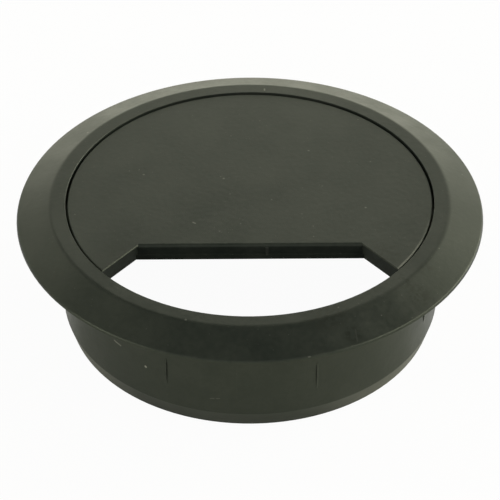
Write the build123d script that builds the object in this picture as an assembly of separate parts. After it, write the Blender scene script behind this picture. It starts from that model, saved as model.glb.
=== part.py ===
from build123d import *
from math import radians, tan
import os

# Desk cable grommet in millimetres: a flanged ring for a round desk hole, and a lid with a cable cut-out.
# The origin is on the ring's axis in the desk surface, +Z points up and the cut-out faces -Y.

# Sleeve in the desk hole
hole_diameter = 60.0
hole_clearance = 0.15
sleeve_wall = 2.2
sleeve_depth = 18.5
lead_in_height = 2.65
lead_in_inset = 0.8

# Crush ribs on the sleeve, the first one counted from -Y towards +X
rib_count = 8
rib_phase = 19.6
rib_top = 7.0
rib_height = 0.2
rib_width = 0.3
rib_length = 5.2
rib_run_in = 1.0
rib_run_out = 1.8

# Flange on the desk, hollowed from below between its inner and outer lands
flange_overhang = 6.65
flange_height = 2.65
flange_wall = 1.6
flange_land = 2.4
rim_height = 0.4
rim_lean = 0.1
rim_round = 0.4
band_width = 2.15
crease_round = 1.0

# Seat for the lid and the snap groove under it
ledge_width = 1.15
mouth_chamfer = 0.05
snap_land = 0.9
groove_height = 2.2

# Lid plate
lid_gap = 0.3
lid_sink = 0.2
plate_thickness = 1.7
lid_chamfer = 0.15

# Cable cut-out: its straight edge lies at cut_distance from the axis, and its ends flare outwards
cut_distance = 11.65
cut_width = 34.4
cut_flare = 39.5
cut_round = 0.5
lip_height = 0.8
lip_wall = 1.2
lip_step = 0.3

# Skirt under the plate, with snap beads that run in the groove
skirt_gap = 0.3
skirt_wall = 1.3
skirt_height = 3.2
skirt_set_back = 4.0
bead_count = 3
bead_spacing = 85.0
bead_span = 30.0
bead_height = 0.6
bead_tip = 0.3
bead_gap = 0.3

# Gate mark on the straight edge of the cut-out
gate_offset = 2.6
gate_width = 0.5
gate_height = 0.15

# Radii from the axis outwards
sleeve_radius = hole_diameter / 2 - hole_clearance
bore_radius = sleeve_radius - sleeve_wall
seat_radius = bore_radius + ledge_width
crease_radius = seat_radius + band_width
flange_radius = sleeve_radius + flange_overhang
lid_radius = seat_radius - lid_gap
skirt_radius = bore_radius - skirt_gap
bead_radius = skirt_radius + bead_height
groove_radius = bead_radius + bead_gap

# Levels above the desk surface
lid_top = flange_height - lid_sink
ledge_level = lid_top - plate_thickness
lip_bottom = ledge_level - lip_height
skirt_bottom = ledge_level - skirt_height
groove_top = ledge_level - snap_land


def rounded_section(points, rounds):
    """A closed radius-height outline, with the listed corners rounded."""
    outline = make_face(Polyline(*points, close=True))
    for corner, radius in rounds:
        outline = fillet(outline.vertices().sort_by_distance(corner)[0], radius)
    return Plane.XZ * outline


def ring_body():
    """The flange, sleeve, lid seat and snap groove, turned from one section."""
    rim_top = (flange_radius - rim_lean, rim_height)
    crease = (crease_radius, flange_height)
    groove_depth = groove_radius - bore_radius
    section = rounded_section(
        [
            (bore_radius, -sleeve_depth),
            (sleeve_radius - lead_in_inset, -sleeve_depth),
            (sleeve_radius, lead_in_height - sleeve_depth),
            (sleeve_radius, 0),
            (crease_radius, 0),
            (crease_radius, flange_height - flange_wall),
            (flange_radius - flange_land, 0),
            (flange_radius, 0),
            rim_top,
            crease,
            (seat_radius + mouth_chamfer, flange_height),
            (seat_radius, flange_height - mouth_chamfer),
            (seat_radius, ledge_level),
            (bore_radius, ledge_level),
            (bore_radius, groove_top),
            (groove_radius, groove_top - groove_depth),
            (groove_radius, groove_top - groove_height + groove_depth),
            (bore_radius, groove_top - groove_height),
        ],
        [(rim_top, rim_round), (crease, crease_round)],
    )
    return revolve(section, Axis.Z)


def crush_rib():
    """One short rib on the sleeve, sloped to nothing at both ends."""
    root = sleeve_radius - sleeve_wall / 2
    rib_bottom = rib_top + rib_length
    outline = make_face(
        Polyline(
            (root, -rib_top),
            (sleeve_radius, -rib_top),
            (sleeve_radius + rib_height, -rib_top - rib_run_in),
            (sleeve_radius + rib_height, rib_run_out - rib_bottom),
            (sleeve_radius, -rib_bottom),
            (root, -rib_bottom),
            close=True,
        )
    )
    rib = extrude(Plane.XZ * outline, amount=rib_width / 2, both=True)
    return Rot(0, 0, rib_phase - 90) * rib


def ring():
    """The moulded ring with its crush ribs."""
    rib = crush_rib()
    body = ring_body()
    for index in range(rib_count):
        body += Rot(0, 0, index * 360 / rib_count) * rib
    return body


def cut_out(step, margin):
    """The cut-out, open past the lid's edge: its straight edge moved by step, then all edges by margin."""
    edge = cut_distance + step
    reach = 2 * lid_radius
    half_edge = cut_width / 2 + step * tan(radians(cut_flare))
    half_reach = half_edge + (reach - edge) * tan(radians(cut_flare))
    corners = [(-half_edge, -edge), (half_edge, -edge), (half_reach, -reach), (-half_reach, -reach)]
    return offset(make_face(Polyline(*corners, close=True)), margin, kind=Kind.INTERSECTION)


def prism(outline, bottom, top):
    """A flat outline raised between two levels."""
    return extrude(Pos(0, 0, bottom) * outline, amount=top - bottom)


def lid_plate():
    """The flat plate with the cable cut-out: upper edges broken, the cut-out's straight one rounded."""
    plate = prism(Circle(lid_radius) - cut_out(0, 0), ledge_level, lid_top)
    upper_edges = plate.faces().sort_by(Axis.Z)[-1].outer_wire().edges()
    straight_edge = upper_edges.sort_by_distance((0, -cut_distance, lid_top))[0]
    plate = fillet(straight_edge, cut_round)
    upper_edges = plate.faces().sort_by(Axis.Z)[-1].outer_wire().edges()
    straight_edge = upper_edges.sort_by_distance((0, cut_round - cut_distance, lid_top))[0]
    return chamfer(upper_edges - [straight_edge], lid_chamfer)


def lid_rims():
    """The arched skirt that centres the lid in the ring, and the low lip along the cut-out."""
    skirt = Circle(skirt_radius) - Circle(skirt_radius - skirt_wall) - cut_out(0, skirt_set_back)
    lip = Circle(skirt_radius) & (cut_out(lip_step, lip_wall) - cut_out(lip_step, 0))
    return prism(skirt, skirt_bottom, ledge_level) + prism(lip, lip_bottom, ledge_level)


def snap_bead():
    """One low bead on the skirt, sloped above and below, centred on +X."""
    tip_top = groove_top - bead_height - bead_gap / 2
    section = make_face(
        Polyline(
            (skirt_radius - skirt_wall / 2, tip_top + bead_height),
            (skirt_radius, tip_top + bead_height),
            (bead_radius, tip_top),
            (bead_radius, tip_top - bead_tip),
            (skirt_radius, tip_top - bead_tip - bead_height),
            (skirt_radius - skirt_wall / 2, tip_top - bead_tip - bead_height),
            close=True,
        )
    )
    return Rot(0, 0, -bead_span / 2) * revolve(Plane.XZ * section, Axis.Z, revolution_arc=bead_span)


def gate_mark():
    """The stub left where the moulding gate was cut off the plate's straight edge."""
    stub = Pos(gate_offset, -cut_distance) * Rectangle(gate_width, 2 * gate_height)
    return prism(stub, ledge_level, lid_top - cut_round)


def lid():
    """The moulded lid with its skirt, lip and snap beads."""
    bead = snap_bead()
    body = lid_plate() + lid_rims() + gate_mark()
    for index in range(bead_count):
        angle = 90 + (index - (bead_count - 1) / 2) * bead_spacing
        body += Rot(0, 0, angle) * bead
    return body


os.makedirs("parts", exist_ok=True)
export_step(ring(), "parts/ring.step")
export_step(lid(), "parts/lid.step")
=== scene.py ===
import math

import bpy
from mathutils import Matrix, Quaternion, Vector


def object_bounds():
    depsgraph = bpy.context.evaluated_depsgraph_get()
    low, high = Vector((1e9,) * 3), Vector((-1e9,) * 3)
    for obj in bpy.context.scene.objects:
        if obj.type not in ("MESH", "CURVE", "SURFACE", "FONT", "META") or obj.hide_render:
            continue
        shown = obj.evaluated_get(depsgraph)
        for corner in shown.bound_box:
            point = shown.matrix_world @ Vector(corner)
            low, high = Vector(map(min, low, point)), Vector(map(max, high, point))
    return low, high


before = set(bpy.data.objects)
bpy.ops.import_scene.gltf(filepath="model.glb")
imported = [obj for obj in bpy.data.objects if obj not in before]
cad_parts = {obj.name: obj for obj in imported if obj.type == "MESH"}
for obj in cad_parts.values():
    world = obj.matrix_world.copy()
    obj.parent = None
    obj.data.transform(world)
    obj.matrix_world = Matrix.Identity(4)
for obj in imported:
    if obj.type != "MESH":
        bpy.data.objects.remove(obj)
cad_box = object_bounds()
bpy.context.scene.view_settings.view_transform = "Standard"


# Ring. One injection moulding in dark olive-grey plastic: the flange that lies on the desk, the sleeve
# down its hole, the seat for the lid and the crush ribs. The mould was eroded to a fine matt grain, and
# handling has left smudges, hair scratches, a few scuffs and specks of dust on it.
PLASTIC_COLOUR = (0.0166, 0.0214, 0.0186, 1.0)
PLASTIC_CLOUD = (0.0276, 0.0322, 0.0278, 1.0)
# The scuff colour also lays on painted light, and the rub colour lays on painted shade.
SCUFF_AND_PAINTED_LIGHT_COLOUR = (0.300, 0.300, 0.265, 1.0)
RUB_AND_PAINTED_SHADE_COLOUR = (0.0080, 0.0086, 0.0068, 1.0)
SPECULAR_TINT = (0.92, 1.0, 0.80, 1.0)
ROUGHNESS = 0.37
SMUDGE_ROUGHNESS = 0.07
MOTTLE_ROUGHNESS = 0.14
MARK_ROUGHNESS = 0.22

# Tone and grain: sizes in millimetres, depths in metres. A range gives the values of a noise, or of the
# upward share of the surface's normal, between which something sets in.
MILLIMETRES = 1000.0
NOISE_MEAN = 0.5
MOTTLE_SIZE = 0.8
CLOUD_SIZE = 7.0
CLOUD_SHARE = 0.6
CLOUD_RANGE = (0.30, 0.70)
SMUDGE_SIZE = 6.0
SMUDGE_RANGE = (0.35, 0.65)
PEEL_SIZE = 0.9
PEEL_DEPTH = 0.000013
GRAIN_SIZE = 0.13
GRAIN_DEPTH = 0.000005
UPPER_RANGE = (0.2, 0.8)
UPRIGHT_RANGE = (0.2, 0.5)

# Dust, of which upright faces hold only a share, and hair scratches, which run in three directions.
DUST_SPACING = 1.6
DUST_SIZE = 0.17
DUST_SHARE = 0.14
DUST_STRENGTH = 0.22
FLUFF_SPACING = 0.55
FLUFF_SIZE = 0.09
FLUFF_SHARE = 0.12
FLUFF_STRENGTH = 0.20
SPECK_CORE = 0.4
UPRIGHT_DUST = 0.3
HAIR_LENGTH = 14.0
HAIR_WIDTH = 0.10
HAIR_TURNS = (0.4, 1.5, 2.5)
HAIR_RANGE = (0.74, 0.80)
HAIR_STRENGTH = 0.012

# Draw marks, left on the upright faces as the moulding slid out of its mould, and a pale band of painted
# light on both sides of the sleeve's foot.
DRAW_RADIUS = 30.0
DRAW_WIDTH = 0.9
DRAW_STRETCH = 0.06
DRAW_RANGE = (0.45, 0.75)
DRAW_STRENGTH = 0.15
FOOT_LEVEL = -15.9
FOOT_BLEND = 0.3
FOOT_SHIFT = 3.0
FOOT_REACH = (11.0, 24.0)
FOOT_PAINTED_LIGHT = 0.26

# Crease between the flange's flat band and its bevel: the radii over which it bends, how far to both
# sides of it the normal is set, and the fall of the bevel.
CREASE_START = 30.75
CREASE_END = 31.65
CREASE_ZONE = 1.5
BEVEL_SLOPE = 0.4129

# Marks on the ring: start, end and width in millimetres, and how strongly the plastic is whitened. The
# last one is painted light along a crush rib, which lightens the line of shade on its side.
RING_MARKS_AND_PAINTED_LIGHT = (
    ((-20.71, -21.50, -8.13), (-19.77, -22.36, -8.40), 0.35, 0.45),
    ((-15.95, -25.23, -10.16), (-15.90, -25.27, -10.20), 0.45, 0.95),
    ((-6.11, -29.22, -13.17), (-5.60, -29.32, -13.08), 0.25, 0.15),
    ((-5.20, -29.40, -13.02), (-4.75, -29.47, -12.95), 0.25, 0.15),
    ((-26.20, 18.26, 2.25), (-26.14, 18.30, 2.25), 0.40, 0.40),
    ((-9.55, -29.49, 2.65), (-9.50, -29.50, 2.65), 0.40, 0.30),
    ((2.55, 29.35, 2.65), (2.55, 29.75, 2.65), 0.35, 0.50),
    ((15.42, -30.45, 1.34), (15.66, -32.30, 0.61), 0.30, 0.06),
    ((8.45, -35.40, 0.35), (8.65, -35.36, 0.35), 0.30, 0.25),
    ((10.05, -28.25, -7.40), (10.05, -28.25, -12.00), 0.50, 0.035),
)
MARK_CORE = 0.15
MARK_EDGE = 0.60

# Paler, duller patches on the ring: middle and reach in millimetres, and strength.
RING_FILMS = (
    ((25.0, -22.5, 1.5), 9.0, 0.020),
    ((15.0, -31.0, 1.3), 7.0, 0.020),
    ((-26.5, -13.5, -4.0), 8.0, 0.050),
    ((4.0, 31.0, 2.6), 20.0, 0.040),
)
FILM_CORE = 0.2

# Patches on the ring's flange that are rubbed clean: middle and reach in millimetres. The settings after
# them shape the lid's painted shade too.
RING_RUBS = (
    ((23.0, -20.4, 2.6), 2.4),
    ((25.2, -22.6, 1.5), 3.0),
    ((26.6, -17.6, 2.3), 2.0),
    ((15.0, -31.3, 1.2), 2.2),
    ((11.0, -27.8, 2.65), 5.0),
)
RUB_AND_SHADE_CORE = 0.3
RUB_AND_SHADE_RANGE = (0.42, 0.58)
RUB_AND_SHADE_STRENGTH = 0.45
RUB_AND_SHADE_POLISH = 0.1


class Wire:
    """One output socket of a node tree, so that a mask can be written as a sum."""

    def __init__(self, tree, socket=None):
        self.tree = tree
        self.socket = socket

    def add(self, kind, settings=None, sockets=None, output=0):
        """A new node: its settings first, then numbers, colours or wires on its sockets."""
        node = self.tree.nodes.new(kind)
        for name, value in (settings or {}).items():
            setattr(node, name, value)
        for name, value in (sockets or {}).items():
            if isinstance(value, Wire):
                self.tree.links.new(value.socket, node.inputs[name])
            else:
                node.inputs[name].default_value = value
        return Wire(self.tree, node.outputs[output])

    def pick(self, output):
        """Another output of the same node."""
        return Wire(self.tree, self.socket.node.outputs[output])

    def math(self, operation, *values):
        """A Math node on these wires or numbers."""
        return self.add("ShaderNodeMath", {"operation": operation}, dict(enumerate(values)))

    def __add__(self, other):
        return self.math("ADD", self, other)

    def __sub__(self, other):
        return self.math("SUBTRACT", self, other)

    def __rsub__(self, other):
        return self.math("SUBTRACT", other, self)

    def __mul__(self, other):
        return self.math("MULTIPLY", self, other)

    __radd__ = __add__
    __rmul__ = __mul__


def rise(value, low, high):
    """0 below low, 1 above high and a smooth step between them."""
    return value.add(
        "ShaderNodeMapRange",
        {"interpolation_type": "SMOOTHSTEP"},
        {"Value": value, "From Min": low, "From Max": high},
    )


def noise(place, size, detail):
    """Soft random cloud between 0 and 1, with patches of this size."""
    return place.add("ShaderNodeTexNoise", {}, {"Vector": place, "Scale": 1 / size, "Detail": detail})


def blend(mask, first, second):
    """The first colour where the mask is 0 and the second where it is 1."""
    return mask.add("ShaderNodeMix", {"data_type": "RGBA"}, {0: mask, 6: first, 7: second}, 2)


def most(first, second):
    """The larger of two masks."""
    return first.math("MAXIMUM", first, second)


def distance(place, point):
    """How far the surface is from a point."""
    return place.add("ShaderNodeVectorMath", {"operation": "DISTANCE"}, {0: place, 1: point}, "Value")


def patch(place, middle, reach, core):
    """A round patch: full over the core's share of its reach, and soft from there to its edge."""
    return 1 - rise(distance(place, middle), core * reach, reach)


def specks(place, spacing, size, share):
    """Round specks, one in this share of the cells of a random net."""
    near = place.add("ShaderNodeTexVoronoi", {}, {"Vector": place, "Scale": 1 / spacing})
    chance = near.add("ShaderNodeSeparateColor", {}, {0: near.pick("Color")})
    speck = 1 - rise(near, SPECK_CORE * size / spacing, size / spacing)
    return speck * near.math("LESS_THAN", chance, share)


def hairs(place, turn):
    """Sparse hair scratches that run one way across the piece."""
    turned = place.add(
        "ShaderNodeVectorRotate", {"rotation_type": "Z_AXIS"}, {"Vector": place, "Angle": turn}
    )
    drawn = place.add(
        "ShaderNodeVectorMath",
        {"operation": "MULTIPLY"},
        {0: turned, 1: (1 / HAIR_LENGTH, 1 / HAIR_WIDTH, 1 / HAIR_LENGTH)},
    )
    return rise(noise(drawn, size=1.0, detail=1.0), *HAIR_RANGE)


def mark(place, start, end, width):
    """A short straight mark from start to end, soft at its sides and ends."""
    run = Vector(end) - Vector(start)
    offset = place.add("ShaderNodeVectorMath", {"operation": "SUBTRACT"}, {0: place, 1: start})
    along = place.add("ShaderNodeVectorMath", {"operation": "DOT_PRODUCT"}, {0: offset, 1: run}, "Value")
    share = place.add(
        "ShaderNodeMath", {"operation": "DIVIDE", "use_clamp": True}, {0: along, 1: run.length_squared}
    )
    nearest = place.add("ShaderNodeVectorMath", {"operation": "SCALE"}, {0: run, "Scale": share})
    return 1 - rise(distance(offset, nearest), MARK_CORE * width, MARK_EDGE * width)


def crease_normal(x, y, upper):
    """The surface's normal, bent smoothly over the crease between the flange's band and its bevel."""
    level = x.add("ShaderNodeCombineXYZ", {}, {0: x, 1: y, 2: 0.0})
    radius = x.add("ShaderNodeVectorMath", {"operation": "LENGTH"}, {0: level}, "Value")
    slope = x.math("DIVIDE", rise(radius, CREASE_START, CREASE_END) * BEVEL_SLOPE, radius)
    leaning = x.add("ShaderNodeCombineXYZ", {}, {0: x * slope, 1: y * slope, 2: 1.0})
    turned = x.add(
        "ShaderNodeVectorTransform",
        {"vector_type": "NORMAL", "convert_from": "OBJECT", "convert_to": "WORLD"},
        {0: leaning},
    )
    near = x.math("COMPARE", radius, (CREASE_START + CREASE_END) / 2, CREASE_ZONE) * upper
    normal = x.add("ShaderNodeNewGeometry", output="Normal")
    return x.add("ShaderNodeMix", {"data_type": "VECTOR"}, {0: near, 4: normal, 5: turned}, 1)


def bump(height, depth, normal):
    """The normal of a surface that is raised by this depth, in metres, where the height is 1."""
    return height.add(
        "ShaderNodeBump", {}, {"Height": height, "Distance": depth, "Strength": 1.0, "Normal": normal}
    )


def moulded_plastic(name, marks_and_painted_light, films, rubs_and_painted_shade):
    """Dark plastic with the fine grain of an eroded mould, the marks of handling, and the painted light
    and shade that it is given.
    """
    material = bpy.data.materials.new(name)
    material.use_nodes = True
    tree = material.node_tree
    shader = tree.nodes["Principled BSDF"]
    start = Wire(tree)
    metres = start.add("ShaderNodeTexCoord", output="Object")
    place = start.add("ShaderNodeVectorMath", {"operation": "SCALE"}, {0: metres, "Scale": MILLIMETRES})
    x = start.add("ShaderNodeSeparateXYZ", {}, {0: place})
    y = x.pick("Y")
    z = x.pick("Z")
    facing = start.add("ShaderNodeSeparateXYZ", {}, {0: metres.pick("Normal")}, "Z")
    upper = rise(facing, *UPPER_RANGE)
    upright = 1 - rise(facing.math("ABSOLUTE", facing), *UPRIGHT_RANGE)

    # Broad clouds and a fine mottle in the tone, and smudges in the gloss.
    mottle = noise(place, MOTTLE_SIZE, detail=3.0)
    uneven = mottle - NOISE_MEAN
    cloud = noise(place, CLOUD_SIZE, detail=3.0) * CLOUD_SHARE + mottle * (1 - CLOUD_SHARE)
    colour = blend(rise(cloud, *CLOUD_RANGE), PLASTIC_COLOUR, PLASTIC_CLOUD)
    smudge = rise(noise(place, SMUDGE_SIZE, detail=4.0), *SMUDGE_RANGE)

    # Dust, hair scratches and the placed marks whiten the plastic; some of the marks are painted light.
    dust = specks(place, DUST_SPACING, DUST_SIZE, DUST_SHARE) * DUST_STRENGTH
    fluff = specks(place, FLUFF_SPACING, FLUFF_SIZE, FLUFF_SHARE) * FLUFF_STRENGTH
    settled = most(dust, fluff) * (UPRIGHT_DUST + (1 - UPRIGHT_DUST) * upper)
    hair = hairs(place, HAIR_TURNS[0])
    for turn in HAIR_TURNS[1:]:
        hair = most(hair, hairs(place, turn))
    scuff_and_painted_light = settled + hair * HAIR_STRENGTH
    for first, last, width, strength in marks_and_painted_light:
        scuff_and_painted_light = most(scuff_and_painted_light, mark(place, first, last, width) * strength)

    # Draw marks, rubbed patches and painted shade darken it.
    around = x.math("ARCTAN2", y, x)
    drawn = start.add("ShaderNodeCombineXYZ", {}, {0: around * DRAW_RADIUS, 1: z * DRAW_STRETCH, 2: 0.0})
    rub_and_painted_shade = rise(noise(drawn, DRAW_WIDTH, detail=2.0), *DRAW_RANGE) * upright * DRAW_STRENGTH
    ragged = rise(mottle, *RUB_AND_SHADE_RANGE)
    for middle, reach in rubs_and_painted_shade:
        rub_and_painted_shade = most(rub_and_painted_shade, ragged * patch(place, middle, reach, RUB_AND_SHADE_CORE))

    # Painted light on both sides of the sleeve's foot and paler films whiten and dull it, but not where
    # it is rubbed or painted with shade.
    foot = 1 - rise(z, FOOT_LEVEL - FOOT_BLEND, FOOT_LEVEL + FOOT_BLEND)
    film_and_painted_light = foot * rise(x.math("ABSOLUTE", x + FOOT_SHIFT), *FOOT_REACH) * FOOT_PAINTED_LIGHT
    for middle, reach, strength in films:
        film_and_painted_light = most(film_and_painted_light, patch(place, middle, reach, FILM_CORE) * strength)
    scuff_and_painted_light = most(scuff_and_painted_light, film_and_painted_light * (1 + uneven) * (1 - rub_and_painted_shade))

    colour = blend(rub_and_painted_shade * RUB_AND_SHADE_STRENGTH, colour, RUB_AND_PAINTED_SHADE_COLOUR)
    colour = blend(scuff_and_painted_light, colour, SCUFF_AND_PAINTED_LIGHT_COLOUR)
    wavy = smudge * SMUDGE_ROUGHNESS + uneven * MOTTLE_ROUGHNESS
    roughness = ROUGHNESS + wavy + (scuff_and_painted_light - rub_and_painted_shade * RUB_AND_SHADE_POLISH) * MARK_ROUGHNESS
    peel = bump(noise(place, PEEL_SIZE, detail=1.0), PEEL_DEPTH, crease_normal(x, y, upper))
    grain = bump(noise(place, GRAIN_SIZE, detail=1.0), GRAIN_DEPTH, peel)
    shader.inputs["Specular Tint"].default_value = SPECULAR_TINT
    tree.links.new(colour.socket, shader.inputs["Base Color"])
    tree.links.new(roughness.socket, shader.inputs["Roughness"])
    tree.links.new(grain.socket, shader.inputs["Normal"])
    return material


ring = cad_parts["ring"]
ring.data.materials[0] = moulded_plastic("ring_plastic", RING_MARKS_AND_PAINTED_LIGHT, RING_FILMS, RING_RUBS)


# Lid. A flat plate moulded in the same plastic, snapped into the ring's seat, where it turns by hand.
# A stub shows on the straight edge of its cut-out where the moulding was cut off its gate.

# Specks on the lid, its paler gate stub and a painted highlight along the edge at its right front, listed
# as the ring's are.
LID_MARKS_AND_HIGHLIGHT = (
    ((-16.78, 6.51, 2.45), (-16.73, 6.49, 2.45), 0.40, 0.30),
    ((-4.12, 5.32, 2.45), (-4.07, 5.35, 2.45), 0.40, 0.32),
    ((-8.75, -5.92, 2.45), (-8.45, -6.17, 2.45), 0.35, 0.36),
    ((17.98, -2.43, 2.45), (18.02, -2.43, 2.45), 0.35, 0.35),
    ((9.45, 12.67, 2.45), (9.50, 12.67, 2.45), 0.35, 0.30),
    ((2.60, -11.80, 0.80), (2.60, -11.80, 1.95), 0.60, 0.07),
    # The last three are a painted highlight along the lid's right front edge, laid on as whitened
    # plastic.
    ((22.36, -17.47, 2.42), (24.58, -14.19, 2.42), 0.44, 0.36),
    ((24.58, -14.19, 2.42), (26.31, -10.63, 2.42), 0.44, 0.24),
    ((26.31, -10.63, 2.42), (27.76, -5.90, 2.42), 0.40, 0.10),
)
# Painted shade on the angled walls at the ends of the cut-out and on the lid next to them, listed as the
# ring's rubbed patches are.
LID_PAINTED_SHADE = (
    ((-19.6, -14.6, 1.4), 5.0),
    ((19.6, -14.6, 1.4), 5.0),
)

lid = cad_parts["lid"]
lid.data.materials[0] = moulded_plastic("lid_plastic", LID_MARKS_AND_HIGHLIGHT, (), LID_PAINTED_SHADE)


# Floor. A pale studio sweep that the grommet stands on by the foot of its sleeve; to the camera it is
# nearly white, with a faint shadow left in it. In the plastic's reflections it is dim, and bright only
# at both sides.
FLOOR_SIZE = 6.0
FLOOR_DROP = 0.00002
FLOOR_COLOUR = (0.95, 0.95, 0.86, 1.0)
FLOOR_WHITE = 0.96
WHITE = (1.0, 1.0, 1.0, 1.0)
GLOSS_DIM = 0.12
GLOSS_BRIGHT = 0.95

# Where it is bright in them, in metres: beside the grommet and back from there, turned a little to the
# right, outside the foot of the sleeve and clear of the line straight behind it.
BRIGHT_TURN = 0.12
BRIGHT_FRONT = (-0.020, 0.014)
BRIGHT_FOOT = (0.0335, 0.0345)
BRIGHT_SPREAD = 0.8
BRIGHT_BACK = (0.0, 0.020)

floor_mesh = bpy.data.meshes.new("floor")
half = FLOOR_SIZE / 2
level = cad_box[0][2] - FLOOR_DROP
corners = [(-half, -half, level), (half, -half, level), (half, half, level), (-half, half, level)]
floor_mesh.from_pydata(corners, [], [(0, 1, 2, 3)])
floor = bpy.data.objects.new("floor", floor_mesh)
bpy.context.scene.collection.objects.link(floor)


def seen_by_camera(ray):
    """1 for the camera's own rays, also those through something clear."""
    return most(ray, ray.pick("Is Transmission Ray"))


floor_material = bpy.data.materials.new("floor_paper")
floor_material.use_nodes = True
floor_material.node_tree.nodes.clear()
start = Wire(floor_material.node_tree)
ray = start.add("ShaderNodeLightPath", output="Is Camera Ray")
place = start.add("ShaderNodeTexCoord", output="Object")
away = start.add("ShaderNodeVectorMath", {"operation": "LENGTH"}, {0: place}, "Value")
across = start.add("ShaderNodeSeparateXYZ", {}, {0: place})
back = across.pick("Y")
bright = rise(back + across * BRIGHT_TURN, *BRIGHT_FRONT) * rise(away, *BRIGHT_FOOT)
bright = bright * rise(across.math("ABSOLUTE", across) - back * BRIGHT_SPREAD, *BRIGHT_BACK)
gloss = GLOSS_DIM + bright * (GLOSS_BRIGHT - GLOSS_DIM)
whiteness = seen_by_camera(ray) * FLOOR_WHITE + ray.pick("Is Glossy Ray") * gloss
paper = start.add("ShaderNodeBsdfDiffuse", {}, {"Color": FLOOR_COLOUR})
white = start.add("ShaderNodeEmission", {}, {"Color": WHITE, "Strength": 1.0})
surface = start.add("ShaderNodeMixShader", {}, {0: whiteness, 1: paper, 2: white})
output = floor_material.node_tree.nodes.new("ShaderNodeOutputMaterial")
floor_material.node_tree.links.new(surface.socket, output.inputs["Surface"])
floor_mesh.materials.append(floor_material)


# Studio light. A white cove that is dim to everything but the camera, and darkest behind the grommet,
# with soft boxes low behind it and at both sides, which its satin plastic mirrors.
COVE_WHITE = 1.0
COVE_FRONT = 0.395
COVE_BACK = 0.02
COVE_RANGE = (-0.8, 0.2)
LAMP_COLOUR = (1.0, 0.985, 0.84)
LAMP_DISTANCE = 1.2

world = bpy.data.worlds.new("studio")
bpy.context.scene.world = world
world.use_nodes = True
background = world.node_tree.nodes["Background"]
start = Wire(world.node_tree)
ray = start.add("ShaderNodeLightPath", output="Is Camera Ray")
direction = start.add("ShaderNodeTexCoord", output="Generated")
depth = start.add("ShaderNodeSeparateXYZ", {}, {0: direction}, "Y")
dim = COVE_BACK + (1 - rise(depth, *COVE_RANGE)) * (COVE_FRONT - COVE_BACK)
strength = most(seen_by_camera(ray) * COVE_WHITE, dim)
background.inputs["Color"].default_value = WHITE
world.node_tree.links.new(strength.socket, background.inputs["Strength"])


def soft_box(name, azimuth, elevation, width, height, power):
    """An area lamp turned towards the grommet; azimuth counts in degrees from behind to the right."""
    turn = math.radians(azimuth)
    lift = math.radians(elevation)
    outwards = Vector((math.sin(turn) * math.cos(lift), math.cos(turn) * math.cos(lift), math.sin(lift)))
    lamp = bpy.data.lights.new(name, "AREA")
    lamp.shape = "RECTANGLE"
    lamp.size = width
    lamp.size_y = height
    lamp.color = LAMP_COLOUR
    lamp.energy = power
    box = bpy.data.objects.new(name, lamp)
    box.location = outwards * LAMP_DISTANCE
    box.rotation_euler = (-outwards).to_track_quat("-Z", "Y").to_euler()
    box.visible_camera = False
    bpy.context.scene.collection.objects.link(box)


soft_box("back_strip", 2, 9, 2.00, 0.42, 4.35)
soft_box("back_centre_box", 0, 10, 0.70, 0.40, 1.20)
soft_box("back_bank", 12, 26.5, 1.10, 0.40, 1.26)
soft_box("back_high_box", 2, 56, 1.30, 0.40, 0.36)
soft_box("right_gap_box", 26, 40, 0.34, 0.26, 0.20)
soft_box("right_back_box", 56, 30, 0.55, 0.60, 2.30)
soft_box("right_box", 82, 20, 0.60, 0.60, 2.50)
soft_box("right_low_box", 62, 15, 0.60, 0.35, 4.60)
soft_box("right_front_box", 112, 30, 0.45, 0.38, 3.90)
soft_box("left_back_box", 332, 27, 0.30, 0.30, 0.27)
soft_box("left_box", 303, 29, 0.60, 0.55, 1.55)
soft_box("left_front_box", 248, 18, 0.42, 0.22, 3.50)
soft_box("left_high_box", 275, 55, 0.55, 0.55, 0.70)


# Camera. A long lens from in front and above, aimed a little down the sleeve's axis and rolled by a
# fraction of a degree.
LENS = 181.5
SENSOR = 36.0
CAMERA_LOCATION = Vector((0.0, -0.31358, 0.24078))
CAMERA_AIM = Vector((-0.00001, 0.0, -0.00776))
CAMERA_ROLL = math.radians(-0.35)

camera_data = bpy.data.cameras.new("camera")
camera_data.lens = LENS
camera_data.sensor_width = SENSOR
camera = bpy.data.objects.new("camera", camera_data)
camera.location = CAMERA_LOCATION
camera.rotation_mode = "QUATERNION"
view = (CAMERA_AIM - CAMERA_LOCATION).to_track_quat("-Z", "Y")
camera.rotation_quaternion = view @ Quaternion((0, 0, 1), CAMERA_ROLL)
bpy.context.scene.collection.objects.link(camera)
bpy.context.scene.camera = camera
